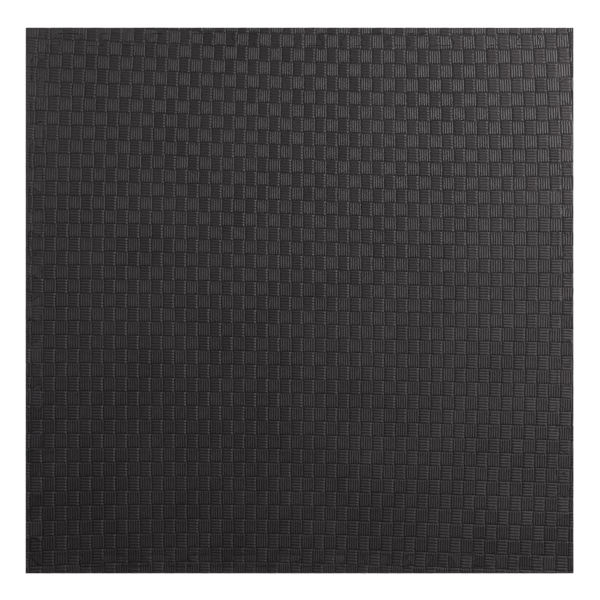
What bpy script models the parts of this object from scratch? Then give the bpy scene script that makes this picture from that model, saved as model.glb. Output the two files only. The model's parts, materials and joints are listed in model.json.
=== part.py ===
# A square foam floor tile with a jigsaw edge, and the four edging strips that are fitted round it.
# Seen from above, +X is the mat's right and +Y its back. All sizes are in metres.
import math
from collections import namedtuple

import bmesh
import bpy
from mathutils import Vector

WIDTH = 1.044  # over the edging strips, along X
LENGTH = 1.040  # over the edging strips, along Y
THICKNESS = 0.020
JOINT_GAP = 0.0003  # clear space between two neighbouring pieces

# The core is the panel between the roots of its teeth. It lies a little askew inside the edging.
CORE_WIDTH = 0.9745
CORE_LENGTH = 0.970
CORE_FROM_LEFT = 0.0380  # from the mat's left edge to the core's back left corner
CORE_FROM_BACK = 0.0342  # from the mat's back edge to the core
CORE_SKEW = 0.0033  # how much further left the core's front lies than its back

TEETH_PER_SIDE = 12
TOOTH_PITCH = 1.0 / TEETH_PER_SIDE  # a tile repeats every metre
HEAD_HALF_WIDTH = 0.0249  # half of a tooth where it is widest, close to its tip
TOOTH_CORNER_RADIUS = 0.0055
ARC_SEGMENTS = 4

# depth: how far the teeth reach out of the core.
# first_tooth: from the side's out corner to the middle of its first tooth.
# bulge: how far the side bows outwards halfway along.
Side = namedtuple("Side", "depth first_tooth bulge")
FRONT = Side(depth=0.0225, first_tooth=0.0077, bulge=0.0)
RIGHT = Side(depth=0.0256, first_tooth=0.0035, bulge=0.0023)
BACK = Side(depth=0.0225, first_tooth=0.0128, bulge=0.0)
LEFT = Side(depth=0.0256, first_tooth=0.0080, bulge=0.0060)

# At the two out corners the panel fills the square between the teeth, less a slanting cut.
# leg_x and leg_y: how much the slant takes off along each side.
Slant = namedtuple("Slant", "leg_x leg_y")
BACK_RIGHT = Slant(leg_x=RIGHT.depth, leg_y=BACK.depth)
FRONT_LEFT = Slant(leg_x=0.0177, leg_y=0.0177)

FOAM_ROUGHNESS = 0.62
PANEL_COLOUR = (0.030, 0.030, 0.032, 1.0)
STRIP_COLOUR = (0.034, 0.034, 0.036, 1.0)

# The origin is in the middle of the mat's underside.
CORE_BACK_LEFT = Vector((CORE_FROM_LEFT - WIDTH / 2, LENGTH / 2 - CORE_FROM_BACK))
CORE_BACK_RIGHT = CORE_BACK_LEFT + Vector((CORE_WIDTH, 0.0))
CORE_FRONT_LEFT = CORE_BACK_LEFT - Vector((CORE_SKEW, CORE_LENGTH))
CORE_FRONT_RIGHT = CORE_FRONT_LEFT + Vector((CORE_WIDTH, 0.0))


def arc(centre, start_angle, end_angle):
    points = []
    for step in range(ARC_SEGMENTS + 1):
        angle = start_angle + (end_angle - start_angle) * step / ARC_SEGMENTS
        points.append(centre + Vector((math.cos(angle), math.sin(angle))) * TOOTH_CORNER_RADIUS)
    return points


# The near flank of a tooth, from its root out to its tip: two equal arcs, one hollow and one round,
# joined by the straight line that touches both. x runs along the side and y out of it.
def near_flank(middle, depth):
    radius = TOOTH_CORNER_RADIUS
    mid_flank = middle - TOOTH_PITCH / 4
    tip_centre = Vector((middle - HEAD_HALF_WIDTH + radius, depth - radius))
    root_centre = Vector((2 * mid_flank - tip_centre.x, radius))
    between = tip_centre - root_centre
    slope = math.atan2(between.y, between.x) + math.asin(2 * radius / between.length)
    root_arc = arc(root_centre, -math.pi / 2, slope - math.pi / 2)
    tip_arc = arc(tip_centre, slope + math.pi / 2, math.pi / 2)
    return root_arc + tip_arc


def far_flank(middle, depth):
    mirrored = [Vector((2 * middle - point.x, point.y)) for point in near_flank(middle, depth)]
    return mirrored[::-1]


# The joint line of one side, from the panel's out corner to its in corner.
# It starts at the slant, and the first tooth runs into the out corner, so it has no near flank.
# outer_turn is 1 where the panel's outside lies to the left of the line, and -1 to the right.
def joint_line(side, slant_end, out_corner, in_corner, outer_turn):
    length = (in_corner - out_corner).length
    points = [Vector((slant_end, side.depth))]
    points += far_flank(side.first_tooth, side.depth)
    for tooth in range(1, TEETH_PER_SIDE):
        middle = side.first_tooth + tooth * TOOTH_PITCH
        points += near_flank(middle, side.depth)
        points += far_flank(middle, side.depth)
    points.append(Vector((length, 0.0)))
    along = (in_corner - out_corner) / length
    outward = Vector((-along.y, along.x)) * outer_turn
    line = []
    for point in points:
        share = max(point.x / length, 0.0)
        bow = side.bulge * 4 * share * (1 - share)
        line.append(out_corner + along * point.x + outward * (point.y + bow))
    return line


def joint_lines():
    slant_back = BACK_RIGHT.leg_x - RIGHT.depth
    slant_right = BACK_RIGHT.leg_y - BACK.depth
    slant_front = FRONT_LEFT.leg_x - LEFT.depth
    slant_left = FRONT_LEFT.leg_y - FRONT.depth
    return {
        "back": joint_line(BACK, slant_back, CORE_BACK_RIGHT, CORE_BACK_LEFT, -1),
        "right": joint_line(RIGHT, slant_right, CORE_BACK_RIGHT, CORE_FRONT_RIGHT, 1),
        "front": joint_line(FRONT, slant_front, CORE_FRONT_LEFT, CORE_FRONT_RIGHT, -1),
        "left": joint_line(LEFT, slant_left, CORE_FRONT_LEFT, CORE_BACK_LEFT, 1),
    }


def without_repeats(outline):
    kept = [outline[0]]
    for point in outline[1:]:
        if (point - kept[-1]).length > JOINT_GAP:
            kept.append(point)
    if (kept[0] - kept[-1]).length <= JOINT_GAP:
        kept.pop()
    return kept


def crossing(start, end, height):
    return start.lerp(end, (height - start.y) / (end.y - start.y))


def panel_outline(lines):
    return lines["back"] + lines["left"][::-1] + lines["front"] + lines["right"][::-1]


# The back and front strips each go round an out corner of the panel, and the left and right strips
# each reach past an in corner, so every strip is one side and one corner long.
def strip_outlines(lines):
    margin = JOINT_GAP / 2  # added here, because every outline is drawn in by as much
    right_edge = WIDTH / 2 + margin
    left_edge = -right_edge
    back_edge = LENGTH / 2 + margin
    front_edge = -back_edge
    right_joint = lines["right"][0]
    left_joint = crossing(lines["left"][0], lines["left"][1], CORE_FRONT_LEFT.y)
    back_end = [
        right_joint,
        Vector((right_edge, right_joint.y)),
        Vector((right_edge, back_edge)),
        Vector((CORE_BACK_LEFT.x, back_edge)),
    ]
    front_end = [
        left_joint,
        Vector((left_edge, left_joint.y)),
        Vector((left_edge, front_edge)),
        Vector((CORE_FRONT_RIGHT.x, front_edge)),
    ]
    right_end = [
        Vector((CORE_FRONT_RIGHT.x, front_edge)),
        Vector((right_edge, front_edge)),
        Vector((right_edge, right_joint.y)),
        right_joint,
    ]
    left_end = [
        Vector((CORE_BACK_LEFT.x, back_edge)),
        Vector((left_edge, back_edge)),
        Vector((left_edge, left_joint.y)),
        left_joint,
    ]
    return {
        "edge_strip_back": lines["back"][::-1] + back_end,
        "edge_strip_front": lines["front"][::-1] + lines["left"][:1] + front_end,
        "edge_strip_right": lines["right"][1:] + right_end,
        "edge_strip_left": lines["left"][1:] + left_end,
    }


# Every edge of the outline moves in by half of the joint gap.
def drawn_in(outline):
    shift = JOINT_GAP / 2
    count = len(outline)
    moved = []
    for index, point in enumerate(outline):
        before = (point - outline[index - 1]).normalized()
        after = (outline[(index + 1) % count] - point).normalized()
        inward_before = Vector((-before.y, before.x))
        inward_after = Vector((-after.y, after.x))
        both = inward_before + inward_after
        moved.append(point + both * shift / (1 + inward_before.dot(inward_after)))
    return moved


def foam(name, colour):
    material = bpy.data.materials.new(name)
    material.use_nodes = True
    shader = material.node_tree.nodes["Principled BSDF"]
    shader.inputs["Base Color"].default_value = colour
    shader.inputs["Roughness"].default_value = FOAM_ROUGHNESS
    shader.inputs["Metallic"].default_value = 0.0
    material.diffuse_color = colour
    return material


def foam_piece(name, outline, colour):
    solid = bmesh.new()
    outline = drawn_in(without_repeats(outline))
    corners = [solid.verts.new((point.x, point.y, 0.0)) for point in outline]
    underside = solid.faces.new(corners)
    raised = bmesh.ops.extrude_face_region(solid, geom=[underside])["geom"]
    upper_corners = [part for part in raised if isinstance(part, bmesh.types.BMVert)]
    bmesh.ops.translate(solid, verts=upper_corners, vec=(0.0, 0.0, THICKNESS))
    bmesh.ops.recalc_face_normals(solid, faces=solid.faces)
    mesh = bpy.data.meshes.new(name)
    solid.to_mesh(mesh)
    solid.free()
    mesh.materials.append(foam(name + "_foam", colour))
    piece = bpy.data.objects.new(name, mesh)
    bpy.context.scene.collection.objects.link(piece)


def build_mat():
    for old in list(bpy.data.objects):
        bpy.data.objects.remove(old)
    lines = joint_lines()
    foam_piece("mat_panel", panel_outline(lines), PANEL_COLOUR)
    for name, outline in strip_outlines(lines).items():
        foam_piece(name, outline, STRIP_COLOUR)


build_mat()
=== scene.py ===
import json
import math

import bmesh
import bpy
import numpy as np
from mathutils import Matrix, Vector, noise
from mathutils.bvhtree import BVHTree
from mathutils.geometry import barycentric_transform

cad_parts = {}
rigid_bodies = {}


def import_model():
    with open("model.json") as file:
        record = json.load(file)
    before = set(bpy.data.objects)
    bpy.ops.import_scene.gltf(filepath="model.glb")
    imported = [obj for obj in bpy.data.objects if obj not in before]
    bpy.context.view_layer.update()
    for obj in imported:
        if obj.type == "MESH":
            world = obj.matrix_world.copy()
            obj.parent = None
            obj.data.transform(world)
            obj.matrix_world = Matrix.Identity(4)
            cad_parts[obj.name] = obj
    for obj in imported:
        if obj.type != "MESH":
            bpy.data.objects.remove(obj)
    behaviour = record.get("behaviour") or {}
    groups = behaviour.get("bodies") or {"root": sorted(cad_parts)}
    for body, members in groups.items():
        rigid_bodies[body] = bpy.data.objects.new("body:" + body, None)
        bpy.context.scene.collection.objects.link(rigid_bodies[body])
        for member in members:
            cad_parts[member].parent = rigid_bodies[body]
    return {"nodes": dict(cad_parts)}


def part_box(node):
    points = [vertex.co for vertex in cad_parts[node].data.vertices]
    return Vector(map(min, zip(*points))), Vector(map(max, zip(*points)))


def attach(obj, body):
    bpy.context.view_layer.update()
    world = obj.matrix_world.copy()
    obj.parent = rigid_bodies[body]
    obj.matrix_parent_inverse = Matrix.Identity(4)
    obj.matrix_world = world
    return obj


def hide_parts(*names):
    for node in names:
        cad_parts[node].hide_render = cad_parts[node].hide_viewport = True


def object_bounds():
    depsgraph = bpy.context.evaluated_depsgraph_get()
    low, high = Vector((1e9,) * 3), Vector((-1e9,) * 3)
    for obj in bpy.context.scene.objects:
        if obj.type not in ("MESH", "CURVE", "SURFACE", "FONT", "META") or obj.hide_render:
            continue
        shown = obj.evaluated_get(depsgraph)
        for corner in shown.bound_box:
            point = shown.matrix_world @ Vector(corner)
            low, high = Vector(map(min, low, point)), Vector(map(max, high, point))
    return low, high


for leftOver in list(bpy.data.objects):
    bpy.data.objects.remove(leftOver)
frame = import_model()
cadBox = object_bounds()
millimetre = 0.001
matTop = cadBox[1].z  # the crests of the ribs are pressed in this plane, and then sink a little
print("frame loaded:", len(frame["nodes"]), "foam pieces")

# The weave is pressed by a mould. Its column lines run from back to front and its row lines from left
# to right, and the foam has crept, so they are a little bent. These are the places, in millimetres
# from the middle of the mat, where four column lines cross four row lines. The others follow smoothly.
mouldLines = {
    "columns": (4, 18, 33, 48),
    "rows": (1, 12, 26, 37),
    "rightward": (
        (-475, -163, 159, 490),
        (-485, -170, 161, 500),
        (-489, -171, 161, 496),
        (-491, -170, 154, 488),
    ),
    "backward": (
        (498, 486, 478, 480),
        (200, 195, 186, 183),
        (-173, -175, -180, -186),
        (-478, -471, -477, -487),
    ),
    "searchedColumns": (-2, 55),  # more lines than the mat has, past its edges on every side
    "searchedRows": (-4, 44),
}


# From one line to the next, on average.
def spanPerLine(places, lines):
    return abs(places[-1] - places[0]) / (lines[-1] - lines[0])


# How wide a block is, and how long from back to front, in millimetres.
blockWidth = spanPerLine(mouldLines["rightward"][0], mouldLines["columns"])
firstColumnLine = [rowLine[0] for rowLine in mouldLines["backward"]]
blockLength = spanPerLine(firstColumnLine, mouldLines["rows"])


# Cubic weights of the four measured lines, at any line or part of one.
def lineWeights(place, lines):
    weights = []
    for line in lines:
        weight = 1.0
        for other in lines:
            if other != line:
                weight = weight * (place - other) / (line - other)
        weights.append(weight)
    return np.array(weights)


# From columns and rows, counted along the mould, to metres on the mat.
def onMat(column, row):
    across = lineWeights(np.asarray(column, float), mouldLines["columns"])
    down = lineWeights(np.asarray(row, float), mouldLines["rows"])
    rightward = np.einsum("rn,rc,cn->n", down, np.array(mouldLines["rightward"]), across)
    backward = np.einsum("rn,rc,cn->n", down, np.array(mouldLines["backward"]), across)
    return rightward * millimetre, backward * millimetre


# Lengths in this dictionary are millimetres, and shares are parts of a rib's pitch. A lean is how far
# over the skin's normals lean, in degrees.
weave = {
    "ribsPerBlock": 5,
    "shoulderShare": 0.25,  # from the groove beside a rib to its shoulder
    "uprightRamp": 2.8,  # how much of its length an upright rib takes to run down to the border
    "lyingRamp": 4.2,  # and one that lies across
    "grooveDepth": 0.75,  # below the crests, halfway along a rib
    "borderDepth": 1.30,  # between two blocks
    "shoulderLean": 29.0,  # at the shoulder of an upright rib
    "grooveLean": 36.0,  # where its side meets the groove
    "rampLean": 31.0,  # at the top of a rib's end
    "borderLean": 42.0,  # where a block meets the border
    "lyingSteepness": 0.76,  # a lying rib is wider, so its sides have this share of an upright's slopes
    "endRoundness": 0.5,  # how much of its shoulders' lean a rib keeps at the foot of its end
    "leanSpread": 3.0,  # how much steeper or flatter the slopes of one rib may be
    "strayShare": 0.025,  # how far a rib may stray sideways
    "lowCrest": 0.12,  # how far a crest may lie below the others
    "blockLean": 1.6,  # how far a whole block may lean
    "margin": 30.0,  # how far round a piece the weave's lines are taken
    "slabBase": -5.0,  # the height of the uncut slab's underside, below the piece that is cut from it
    "seed": 14,
}


def slopeOf(degrees):
    return math.tan(math.radians(degrees))


class WeaveSkin:
    def __init__(self, columns, rows, seed):
        self.columns = columns
        self.rows = rows
        self.random = np.random.default_rng(seed)
        self.places = []  # column, row, and millimetres below the crests
        self.triangles = []
        self.leans = []  # for each corner of a triangle, its slopes to the right and to the front
        self.border = {}

    def addPoint(self, column, row, depth):
        self.places.append((column, row, depth))
        return len(self.places) - 1

    # Border points stand one rib apart, so the blocks on both sides of a border share them.
    def borderPoint(self, ribsRight, ribsFront):
        key = (ribsRight, ribsFront)
        if key not in self.border:
            column = ribsRight / weave["ribsPerBlock"]
            row = ribsFront / weave["ribsPerBlock"]
            self.border[key] = self.addPoint(column, row, weave["borderDepth"])
        return self.border[key]

    # Fills the strip between two lines of corners that run the same way.
    def stitch(self, nearLine, farLine, turned):
        near = 0
        far = 0
        while near < len(nearLine) - 1 or far < len(farLine) - 1:
            nearShare = (near + 0.5) / (len(nearLine) - 1)
            farShare = (far + 0.5) / (len(farLine) - 1)
            if far == len(farLine) - 1 or (near < len(nearLine) - 1 and nearShare <= farShare):
                corners = [nearLine[near], farLine[far], nearLine[near + 1]]
                near += 1
            else:
                corners = [nearLine[near], farLine[far], farLine[far + 1]]
                far += 1
            if turned:
                corners.reverse()
            self.triangles.append([point for point, _ in corners])
            self.leans.append([lean for _, lean in corners])

    # One block. "over" counts across its ribs and "along" runs with them, both from 0 to 1.
    def addBlock(self, column, row):
        upright = (column + row) % 2 == 0
        ribs = weave["ribsPerBlock"]
        pitch = 1.0 / ribs
        blockSlopes = self.random.uniform(-1.0, 1.0, 2) * slopeOf(weave["blockLean"])
        rampShare = weave["uprightRamp"] / blockLength if upright else weave["lyingRamp"] / blockWidth
        stations = (rampShare, 0.5, 1.0 - rampShare)
        steepness = 1.0 if upright else weave["lyingSteepness"]

        def ribPoint(over, along, depth):
            if upright:
                return self.addPoint(column + over, row + along, depth)
            return self.addPoint(column + along, row + over, depth)

        def edgePoint(ribsOver, ribsAlong):
            if upright:
                return self.borderPoint(ribs * column + ribsOver, ribs * row + ribsAlong)
            return self.borderPoint(ribs * column + ribsAlong, ribs * row + ribsOver)

        def leaning(points, slopeOver, slopeAlong=0.0):
            lean = (slopeOver + blockSlopes[0], slopeAlong + blockSlopes[1])
            return [(point, lean if upright else lean[::-1]) for point in points]

        grooves = [[edgePoint(0, step) for step in range(ribs + 1)]]
        for rib in range(1, ribs):
            bottom = ribPoint(rib * pitch, 0.5, weave["grooveDepth"])
            grooves.append([edgePoint(rib, 0), bottom, edgePoint(rib, ribs)])
        grooves.append([edgePoint(ribs, step) for step in range(ribs + 1)])
        for rib in range(ribs):
            strays = self.random.uniform(-1.0, 1.0, 3) * weave["strayShare"] * pitch
            lows = self.random.uniform(0.0, 1.0, 3) * weave["lowCrest"]
            steeper = self.random.uniform(-1.0, 1.0) * weave["leanSpread"]
            shoulder = slopeOf(weave["shoulderLean"] + steeper) * steepness
            groove = slopeOf(weave["grooveLean"] + steeper) * steepness
            ramp = slopeOf(weave["rampLean"] + steeper)
            border = slopeOf(weave["borderLean"] + steeper)
            nearFoot = border if rib == 0 else groove
            farFoot = border if rib == ribs - 1 else groove
            nearSide = []
            farSide = []
            for along, stray, low in zip(stations, strays, lows):
                near = (rib + weave["shoulderShare"]) * pitch + stray
                far = (rib + 1 - weave["shoulderShare"]) * pitch + stray
                nearSide.append(ribPoint(near, along, low))
                farSide.append(ribPoint(far, along, low))
            self.stitch(leaning(grooves[rib], -nearFoot), leaning(nearSide, -shoulder), upright)
            self.stitch(leaning(nearSide, -shoulder), leaning(farSide, shoulder), upright)
            self.stitch(leaning(farSide, shoulder), leaning(grooves[rib + 1], farFoot), upright)
            footLean = shoulder * weave["endRoundness"]
            for end, towards in ((0, -1), (-1, 1)):
                foot = leaning([grooves[rib][end]], -footLean, towards * border)
                foot += leaning([grooves[rib + 1][end]], footLean, towards * border)
                top = leaning([nearSide[end]], -shoulder, towards * ramp)
                top += leaning([farSide[end]], shoulder, towards * ramp)
                self.stitch(foot, top, upright != (end == 0))

    def press(self):
        for column in self.columns:
            for row in self.rows:
                self.addBlock(column, row)
        return np.array(self.places)

    # The outer border points in order, anticlockwise from above.
    def outline(self):
        ribs = weave["ribsPerBlock"]
        left, right = ribs * self.columns[0], ribs * (self.columns[-1] + 1)
        back, front = ribs * self.rows[0], ribs * (self.rows[-1] + 1)
        keys = [(left, place) for place in range(back, front)]
        keys += [(place, front) for place in range(left, right)]
        keys += [(right, place) for place in range(front, back, -1)]
        keys += [(place, back) for place in range(right, left, -1)]
        return [self.border[key] for key in keys]


# The foam isn't perfectly flat. Beside a cut, where the die pulled it, it is uneven and its ribs sway.
# Lengths are millimetres.
cutPull = {
    "reach": 5.0,  # how far from the cut the foam is uneven
    "farthest": 12.5,  # the waste farther from the piece than this stays as it is
    "rise": 0.75,  # how much full noise lifts or lowers the foam
    "sunkShare": 0.5,  # of that rise: the whole skin sinks by it, to leave room for the high stretches
    "sway": 2.0,
    "patch": 16.0,  # how long one high or low stretch is
    "flattened": 0.6,  # how much of the ribs' height is lost where the foam is pulled most
    "strongPull": 0.5,  # the noise that counts as most
    "step": 0.2,  # how far apart the two heights are that give a slope
    "layerGap": 7.3,  # between two layers of noise that aren't alike
    "swayLayers": (0.3, 0.6),  # the layers that move the ribs to the right and to the back
}


def pullAt(x, y, distance, layer):
    near = math.exp(-((distance / (cutPull["reach"] * millimetre)) ** 2))
    size = 1.0 / (cutPull["patch"] * millimetre)
    return near * noise.noise(Vector((x * size, y * size, cutPull["layerGap"] * layer)))


# Sinks the skin, and moves it unevenly beside the cuts. A distance runs from half the mat's height to
# the nearest side or top of the cutter, so over the piece none is above half the mat's thickness.
# Returns how much of its ribs each point keeps, and how far the foam leans there as a whole.
def pulledSkin(points, depths, cutterFaces, seed):
    keeps = np.ones(len(points))
    tilts = np.zeros((len(points), 2))
    rise = cutPull["rise"] * millimetre
    step = cutPull["step"] * millimetre
    sway = cutPull["sway"] * millimetre
    farthest = cutPull["farthest"] * millimetre
    for index, (x, y, _) in enumerate(points):
        nearest, _, _, distance = cutterFaces.find_nearest(Vector((x, y, matTop / 2)), farthest)
        if nearest is None:
            continue
        away = (Vector((x, y)) - nearest.xy) / max(distance, 1e-6)  # never divided by 0
        here = pullAt(x, y, distance, seed)
        right = pullAt(x + step, y, distance + step * away.x, seed)
        front = pullAt(x, y - step, distance - step * away.y, seed)
        keeps[index] = 1.0 - cutPull["flattened"] * min(1.0, abs(here) / cutPull["strongPull"])
        tilts[index] = (here - right) * rise / step, (here - front) * rise / step
        for axis, layer in enumerate(cutPull["swayLayers"]):
            points[index][axis] += sway * pullAt(x, y, distance, seed + layer)
        height = (here - cutPull["sunkShare"]) * rise
        points[index][2] = matTop - depths[index] * millimetre * keeps[index] + height
    return keeps, tilts


# The die drags the skin down along a cut, more in one place than in the next. The outside of the
# mat is trimmed clean. Lengths are millimetres.
draggedEdge = {
    "width": 1.0,
    "drop": (0.2, 1.6),  # the least and the most
    "trimmedDrop": 0.1,  # along the outside
    "stretch": 8.0,  # how long one deep or shallow stretch is
    "spacing": 5.0,  # points are added where the outline's own stand farther apart
    "outside": 0.5,  # what is nearer to the mat's box than this is its outside
    "aboveTop": 0.02,  # the cutter's top clears the mat's, so that the crests stay whole
    "weld": 0.01,  # points nearer than this are one
}
levelNormal = 0.9  # a face whose normal points up or down more than this is a top or an underside
skinFace, draggedFace, cutFace, underFace = range(4)


def onOutside(corner):
    near = draggedEdge["outside"] * millimetre
    return any(
        min(corner[axis] - cadBox[0][axis], cadBox[1][axis] - corner[axis]) < near for axis in (0, 1)
    )


# A solid with the node's outline, and the dragged edge round its top.
def cutterFor(node):
    cutter = bmesh.new()
    cutter.from_mesh(node.data)
    bmesh.ops.remove_doubles(cutter, verts=cutter.verts, dist=draggedEdge["weld"] * millimetre)
    above = [face for face in cutter.faces if face.normal.z > levelNormal]
    below = [face for face in cutter.faces if face.normal.z < -levelNormal]
    for face in cutter.faces:
        face.material_index = cutFace
    bmesh.ops.dissolve_faces(cutter, faces=below)
    top = bmesh.ops.dissolve_faces(cutter, faces=above)["region"][0]
    for edge in list(top.edges):
        cuts = int(edge.calc_length() / (draggedEdge["spacing"] * millimetre))
        if cuts and not (onOutside(edge.verts[0].co) and onOutside(edge.verts[1].co)):
            bmesh.ops.subdivide_edges(cutter, edges=[edge], cuts=cuts)
    rim = [corner for face in cutter.faces if face.normal.z > levelNormal for corner in face.verts]
    least, most = draggedEdge["drop"]
    for corner in rim:
        share = 0.5 + noise.noise(corner.co / (draggedEdge["stretch"] * millimetre))
        drop = least + (most - least) * min(max(share, 0.0), 1.0)
        if onOutside(corner.co):
            drop = draggedEdge["trimmedDrop"]
        corner.co.z = matTop - drop * millimetre
    top = max(cutter.faces, key=lambda face: len(face.verts) if face.normal.z > levelNormal else 0)
    width = draggedEdge["width"] * millimetre
    ring = bmesh.ops.inset_region(cutter, faces=[top], thickness=width, use_even_offset=True)
    for face in ring["faces"]:
        face.material_index = draggedFace
    for corner in top.verts:
        corner.co.z = matTop + draggedEdge["aboveTop"] * millimetre
    for face in cutter.faces:
        if face.normal.z < -levelNormal:
            face.material_index = underFace
    bmesh.ops.triangulate(cutter, faces=cutter.faces)
    return cutter


# The blocks that cover a node, and a little more on each side.
def blocksOver(node):
    low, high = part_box(node.name)
    margin = weave["margin"] * millimetre
    columns = np.arange(*mouldLines["searchedColumns"])
    rows = np.arange(*mouldLines["searchedRows"])
    gridColumns, gridRows = np.meshgrid(columns, rows)
    x, y = onMat(gridColumns.ravel(), gridRows.ravel())
    inside = (x > low.x - margin) & (x < high.x + margin) & (y > low.y - margin) & (y < high.y + margin)
    usedColumns = gridColumns.ravel()[inside]
    usedRows = gridRows.ravel()[inside]
    return (
        range(int(usedColumns.min()), int(usedColumns.max())),
        range(int(usedRows.min()), int(usedRows.max())),
    )


# A closed slab, larger than the piece, with the weave on its top.
def slabMesh(name, skin, points):
    outline = skin.outline()
    below = points[outline].copy()
    below[:, 2] = weave["slabBase"] * millimetre
    outlineBelow = list(range(len(points), len(points) + len(outline)))
    faces = list(skin.triangles)
    for index in range(len(outline)):
        after = (index + 1) % len(outline)
        faces.append((outline[index], outlineBelow[index], outlineBelow[after], outline[after]))
    faces.append(tuple(outlineBelow[::-1]))
    mesh = bpy.data.meshes.new(name)
    mesh.from_pydata(np.vstack((points, below)).tolist(), [], faces)
    return mesh


# A shape's corners, and those of its faces that are of one of these kinds.
def asPolygons(shape, kinds):
    shape.verts.index_update()
    corners = [vertex.co.copy() for vertex in shape.verts]
    chosen = [face for face in shape.faces if face.material_index in kinds]
    return corners, [[vertex.index for vertex in face.verts] for face in chosen]


sharpAngle = 40.0  # in degrees: cut faces that meet at more than this have a sharp edge


# The skin's normals follow the round ribs more closely than its flat faces do. Each face of the cut
# piece takes them from the face of the uncut skin that it is a part of.
def smoothedSkin(mesh, points, triangles, normals):
    tree = BVHTree.FromPolygons([Vector(point) for point in points], triangles)
    shape = bmesh.new()
    shape.from_mesh(mesh)
    for edge in shape.edges:
        kinds = {face.material_index for face in edge.link_faces}
        bent = edge.calc_face_angle(0.0) > math.radians(sharpAngle)
        edge.smooth = len(kinds) == 1 and (skinFace in kinds or not bent)
    for face in shape.faces:
        face.smooth = True
    shape.to_mesh(mesh)
    shape.free()
    corners = np.zeros(3 * len(mesh.loops))
    mesh.corner_normals.foreach_get("vector", corners)
    corners = corners.reshape(-1, 3)
    for polygon in mesh.polygons:
        if polygon.material_index != skinFace:
            continue
        _, _, triangle, _ = tree.find_nearest(polygon.center)
        ends = [Vector(points[end]) for end in triangles[triangle]]
        endNormals = [Vector(normal) for normal in normals[triangle]]
        for loop in polygon.loop_indices:
            place = mesh.vertices[mesh.loops[loop].vertex_index].co
            corners[loop] = barycentric_transform(place, *ends, *endNormals).normalized()
    mesh.normals_split_custom_set(corners.tolist())


# Presses the weave, cuts the piece out of it with the node's outline, and drops the waste.
def wovenPiece(name, node, finishes, seed):
    columns, rows = blocksOver(node)
    skin = WeaveSkin(columns, rows, weave["seed"] + seed)
    places = skin.press()
    depths = places[:, 2]
    points = np.column_stack((*onMat(places[:, 0], places[:, 1]), matTop - depths * millimetre))
    cutter = cutterFor(node)
    cutterFaces = BVHTree.FromPolygons(*asPolygons(cutter, {cutFace}))
    keeps, tilts = pulledSkin(points, depths, cutterFaces, seed)
    slopes = np.array(skin.leans) * keeps[skin.triangles][..., None] + tilts[skin.triangles]
    normals = np.stack((slopes[..., 0], -slopes[..., 1], np.ones(slopes.shape[:2])), axis=-1)
    slab = bpy.data.objects.new(name, slabMesh(name, skin, points))
    die = bpy.data.objects.new(name + "Die", bpy.data.meshes.new(name + "Die"))
    cutter.to_mesh(die.data)
    cutter.free()
    for part in (slab, die):
        for finish in finishes:
            part.data.materials.append(finish)
        bpy.context.scene.collection.objects.link(part)
    cut = slab.modifiers.new("cut", "BOOLEAN")
    cut.operation = "INTERSECT"
    cut.solver = "MANIFOLD"
    cut.object = die
    evaluated = slab.evaluated_get(bpy.context.evaluated_depsgraph_get())
    mesh = bpy.data.meshes.new_from_object(evaluated)
    smoothedSkin(mesh, points, skin.triangles, normals)
    slab.modifiers.clear()
    slab.data = mesh
    bpy.data.objects.remove(die)
    return slab


def newGroup(name, inputs, outputs):
    group = bpy.data.node_groups.new(name, "ShaderNodeTree")
    for socketName, socketType, value in inputs:
        socket = group.interface.new_socket(socketName, in_out="INPUT", socket_type=socketType)
        socket.default_value = value
    for socketName, socketType in outputs:
        group.interface.new_socket(socketName, in_out="OUTPUT", socket_type=socketType)
    given = group.nodes.new("NodeGroupInput").outputs
    result = group.nodes.new("NodeGroupOutput").inputs
    return group, given, result


# Adds a node. Each input is joined to a socket, or set to a plain value.
def addNode(tree, kind, inputs, **settings):
    node = tree.nodes.new(kind)
    for setting, value in settings.items():
        setattr(node, setting, value)
    for key, value in inputs.items():
        if isinstance(value, bpy.types.NodeSocket):
            tree.links.new(value, node.inputs[key])
        else:
            node.inputs[key].default_value = value
    return node.outputs


def maths(tree, operation, *values):
    return addNode(tree, "ShaderNodeMath", dict(enumerate(values)), operation=operation)[0]


# 0 below the low value and 1 above the high one, with a soft step between.
def softStep(tree, value, low, high):
    inputs = {"Value": value, "From Min": low, "From Max": high}
    return addNode(tree, "ShaderNodeMapRange", inputs, interpolation_type="SMOOTHSTEP")["Result"]


def onObject(tree):
    return addNode(tree, "ShaderNodeTexCoord", {})["Object"]


# Noise whose lumps are about as large as "size", in millimetres.
def lumps(tree, size, detail, roughness=0.5):
    scale = maths(tree, "DIVIDE", 1 / millimetre, size)
    inputs = {"Vector": onObject(tree), "Scale": scale, "Detail": detail, "Roughness": roughness}
    return addNode(tree, "ShaderNodeTexNoise", inputs)["Fac"]


# Closed cells under the skin: a soft pebble, and a finer grit on it. Sizes are millimetres.
def foamGrainGroup():
    group, given, result = newGroup(
        "foamGrain",
        [
            ("Pebble Size", "NodeSocketFloat", 1.4),
            ("Grit Size", "NodeSocketFloat", 0.35),
            ("Grit Share", "NodeSocketFloat", 0.4),
        ],
        [("Height", "NodeSocketFloat")],
    )
    pebble = lumps(group, given["Pebble Size"], detail=1.0)
    grit = lumps(group, given["Grit Size"], detail=2.0, roughness=0.6)
    height = maths(group, "MULTIPLY_ADD", grit, given["Grit Share"], pebble)
    group.links.new(height, result["Height"])
    return group


# How far a spot lies from a groove, 0, to the crest of a rib, 1.
def ribHeightGroup():
    group, given, result = newGroup(
        "ribHeight",
        [("Groove Level", "NodeSocketFloat", 0.0), ("Crest Level", "NodeSocketFloat", 0.02)],
        [("Mask", "NodeSocketFloat")],
    )
    height = addNode(group, "ShaderNodeSeparateXYZ", {"Vector": onObject(group)})["Z"]
    mask = softStep(group, height, given["Groove Level"], given["Crest Level"])
    group.links.new(mask, result["Mask"])
    return group


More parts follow.
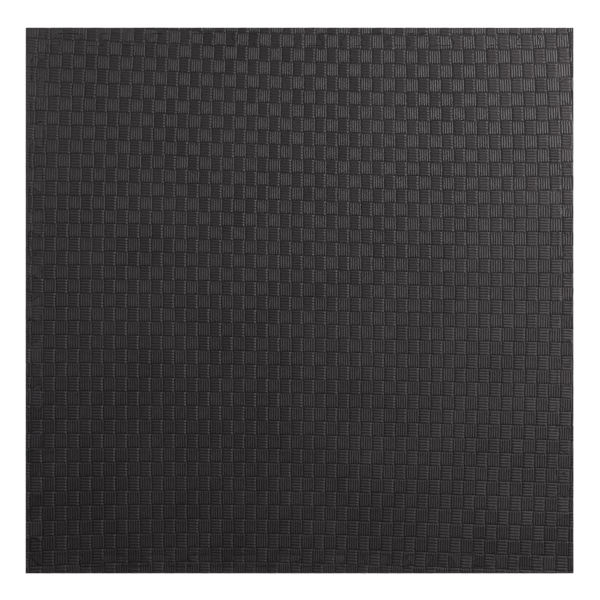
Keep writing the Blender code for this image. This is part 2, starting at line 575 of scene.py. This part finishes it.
# Large soft patches where the black is a little deeper or greyer. The size is in millimetres.
def toneDriftGroup():
    group, given, result = newGroup(
        "toneDrift",
        [
            ("Tone", "NodeSocketColor", (0.03, 0.03, 0.03, 1.0)),
            ("Drift", "NodeSocketFloat", 0.2),
            ("Patch Size", "NodeSocketFloat", 90.0),
        ],
        [("Color", "NodeSocketColor"), ("Mask", "NodeSocketFloat")],
    )
    patches = lumps(group, given["Patch Size"], detail=4.0, roughness=0.6)
    mask = softStep(group, patches, low=0.3, high=0.7)
    fromMiddle = maths(group, "SUBTRACT", mask, 0.5)
    strength = maths(group, "MULTIPLY_ADD", fromMiddle, given["Drift"], 1.0)
    inputs = {"Vector": given["Tone"], "Scale": strength}
    drifted = addNode(group, "ShaderNodeVectorMath", inputs, operation="SCALE")["Vector"]
    group.links.new(drifted, result["Color"])
    group.links.new(mask, result["Mask"])
    return group


foamGrain = foamGrainGroup()
ribHeight = ribHeightGroup()
toneDrift = toneDriftGroup()


def newMaterial(name):
    material = bpy.data.materials.new(name)
    material.use_nodes = True
    tree = material.node_tree
    return material, tree, tree.nodes["Principled BSDF"].inputs


def useGroup(tree, group, inputs):
    return addNode(tree, "ShaderNodeGroup", inputs, node_tree=group)


# Lengths in the finishes are millimetres. "grain" is the size of the pebbles, the size of the grit,
# the grit's share, and how high it all stands.
def roughened(tree, shader, grain):
    pebbleSize, gritSize, gritShare, depth = grain
    inputs = {"Pebble Size": pebbleSize, "Grit Size": gritSize, "Grit Share": gritShare}
    height = useGroup(tree, foamGrain, inputs)["Height"]
    inputs = {"Height": height, "Distance": depth * millimetre, "Strength": 1.0}
    tree.links.new(addNode(tree, "ShaderNodeBump", inputs)["Normal"], shader["Normal"])


pressedFoam = {
    "drift": 0.25,  # how much its black varies
    "patchSize": 110.0,
    "grooveRoughness": 0.46,
    "crestRoughness": 0.42,  # as high as the mat's top
    "patchRoughness": 0.06,  # added where a patch is greyest
    "specular": 0.45,
    "grain": (1.3, 0.4, 0.5, 0.05),
}


def pressedFoamMaterial(name, tone):
    material, tree, shader = newMaterial(name)
    patchSize = pressedFoam["patchSize"]
    inputs = {"Tone": tone, "Drift": pressedFoam["drift"], "Patch Size": patchSize}
    patches = useGroup(tree, toneDrift, inputs)
    tree.links.new(patches["Color"], shader["Base Color"])
    grooveLevel = matTop - weave["grooveDepth"] * millimetre
    inputs = {"Groove Level": grooveLevel, "Crest Level": matTop}
    crest = useGroup(tree, ribHeight, inputs)["Mask"]
    rubbed = pressedFoam["crestRoughness"] - pressedFoam["grooveRoughness"]
    roughness = maths(tree, "MULTIPLY_ADD", crest, rubbed, pressedFoam["grooveRoughness"])
    patchRoughness = pressedFoam["patchRoughness"]
    roughness = maths(tree, "MULTIPLY_ADD", patches["Mask"], patchRoughness, roughness)
    tree.links.new(roughness, shader["Roughness"])
    shader["Specular IOR Level"].default_value = pressedFoam["specular"]
    roughened(tree, shader, pressedFoam["grain"])
    return material


# The open cells of a cut side.
cutFoam = {
    "tone": (0.030, 0.029, 0.030, 1.0),
    "drift": 0.5,
    "patchSize": 3.0,
    "roughness": 0.85,
    "specular": 0.3,
    "grain": (0.7, 0.25, 0.8, 0.27),
}
# The underside is flat and has no pattern.
underFoam = {
    "tone": (0.028, 0.027, 0.028, 1.0),
    "drift": 0.3,
    "patchSize": 60.0,
    "roughness": 0.72,
    "specular": 0.4,
    "grain": (2.2, 0.6, 0.6, 0.2),
}


def plainFoamMaterial(name, finish):
    material, tree, shader = newMaterial(name)
    inputs = {"Tone": finish["tone"], "Drift": finish["drift"], "Patch Size": finish["patchSize"]}
    tree.links.new(useGroup(tree, toneDrift, inputs)["Color"], shader["Base Color"])
    shader["Roughness"].default_value = finish["roughness"]
    shader["Specular IOR Level"].default_value = finish["specular"]
    roughened(tree, shader, finish["grain"])
    return material


# The edging's black is a little lighter than the panel's: least on the back strip, more on the right
# and front ones, and most on the left one.
woven = {
    "mat_panel": {
        "piece": "wovenPanel",
        "slot": "panel_foam",
        "tone": (0.0530, 0.0455, 0.0487, 1.0),
    },
    "edge_strip_back": {
        "piece": "backEdging",
        "slot": "edging_foam",
        "tone": (0.0570, 0.0495, 0.0530, 1.0),
    },
    "edge_strip_right": {
        "piece": "rightEdging",
        "slot": "edging_foam",
        "tone": (0.0580, 0.0490, 0.0530, 1.0),
    },
    "edge_strip_front": {
        "piece": "frontEdging",
        "slot": "edging_foam",
        "tone": (0.0660, 0.0570, 0.0600, 1.0),
    },
    "edge_strip_left": {
        "piece": "leftEdging",
        "slot": "edging_foam",
        "tone": (0.0680, 0.0600, 0.0640, 1.0),
    },
}
sides = plainFoamMaterial("cutFoam", cutFoam)
underside = plainFoamMaterial("underFoam", underFoam)
for seed, (nodeName, choice) in enumerate(woven.items(), 1):
    skin = pressedFoamMaterial(choice["piece"] + "Foam", choice["tone"])
    node = frame["nodes"][nodeName]
    piece = wovenPiece(choice["piece"], node, (skin, skin, sides, underside), seed)
    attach(piece, "root")
    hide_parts(nodeName)
    print("woven and cut:", choice["piece"], len(piece.data.polygons), "faces")

studio = {
    "floorMargin": 6.0,  # how far the floor reaches past the mat, in metres
    "covered": 0.002,  # how far inside the mat's outline the covered floor starts
    "clearance": 0.0001,  # between the floor and the mat
    "floorTone": (0.40, 0.40, 0.40, 1.0),
    "floorRoughness": 0.8,
    "floorGlow": 0.97,
    "skyTone": (0.80, 0.82, 0.85, 1.0),
    "skyStrength": 0.14,
    # Where each softbox hangs and how wide it is, in metres, and its power. All look at the middle.
    "softboxes": {
        "right": ((1.6, 0.6, 0.9), 0.9, 13.8),
        "lowRight": ((1.1, 0.55, 0.5), 0.5, 3.6),
        "frontRight": ((1.2, -0.3, 0.5), 0.5, 1.2),
        "backRight": ((0.9, 1.1, 1.0), 0.7, 3.8),
        "backLeft": ((-0.9, 0.9, 0.8), 0.6, 2.2),
        "left": ((-1.1, 0.2, 0.4), 0.5, 0.4),
    },
    "lens": 85.0,  # millimetres, as is the sensor's width
    "sensor": 36.0,
    "framePixels": 600,
    "matPixels": 548.2,  # how wide the mat is in the photo
    "matCentre": (299.6, 300.5),  # where its middle is, from the photo's left and top
}


def paleFloorMaterial(name, glow):
    material, tree, shader = newMaterial(name)
    shader["Base Color"].default_value = studio["floorTone"]
    shader["Roughness"].default_value = studio["floorRoughness"]
    shader["Emission Color"].default_value = (1.0, 1.0, 1.0, 1.0)
    shader["Emission Strength"].default_value = glow
    return material


# The floor glows, so that it stays white, but not where the mat lies on it: the glow would shine up
# through the joints.
def addFloor():
    corners = []
    for inset in (-studio["floorMargin"], studio["covered"]):
        left, front = cadBox[0].x + inset, cadBox[0].y + inset
        right, back = cadBox[1].x - inset, cadBox[1].y - inset
        corners += [(left, front), (right, front), (right, back), (left, back)]
    height = cadBox[0].z - studio["clearance"]
    faces = [(side, (side + 1) % 4, (side + 1) % 4 + 4, side + 4) for side in range(4)]
    faces.append((4, 5, 6, 7))
    mesh = bpy.data.meshes.new("studioFloor")
    mesh.from_pydata([(x, y, height) for x, y in corners], [], faces)
    mesh.materials.append(paleFloorMaterial("paleFloor", studio["floorGlow"]))
    mesh.materials.append(paleFloorMaterial("coveredFloor", 0.0))
    mesh.polygons[-1].material_index = 1  # the covered floor is the last face
    floor = bpy.data.objects.new("studioFloor", mesh)
    bpy.context.scene.collection.objects.link(floor)


def addSoftbox(name, place, size, power):
    lamp = bpy.data.lights.new(name, "AREA")
    lamp.shape = "SQUARE"
    lamp.size = size
    lamp.energy = power
    softbox = bpy.data.objects.new(name, lamp)
    softbox.location = place
    softbox.rotation_euler = (-softbox.location).to_track_quat("-Z", "Y").to_euler()
    bpy.context.scene.collection.objects.link(softbox)


def addSky():
    world = bpy.data.worlds.new("softSky")
    world.use_nodes = True
    background = world.node_tree.nodes["Background"]
    background.inputs["Color"].default_value = studio["skyTone"]
    background.inputs["Strength"].default_value = studio["skyStrength"]
    bpy.context.scene.world = world


def addCamera():
    lens = bpy.data.cameras.new("camera")
    lens.lens = studio["lens"]
    lens.sensor_width = studio["sensor"]
    matWidth = cadBox[1].x - cadBox[0].x
    metresPerPixel = matWidth / studio["matPixels"]
    distance = metresPerPixel * studio["framePixels"] * studio["lens"] / studio["sensor"]
    middle = studio["framePixels"] / 2
    camera = bpy.data.objects.new("camera", lens)
    camera.location = (
        (middle - studio["matCentre"][0]) * metresPerPixel,
        (studio["matCentre"][1] - middle) * metresPerPixel,
        matTop + distance,
    )
    bpy.context.scene.collection.objects.link(camera)
    bpy.context.scene.camera = camera


addFloor()
for name, (place, size, power) in studio["softboxes"].items():
    addSoftbox(name + "Softbox", place, size, power)
addSky()
addCamera()
bpy.context.scene.view_settings.view_transform = "Standard"
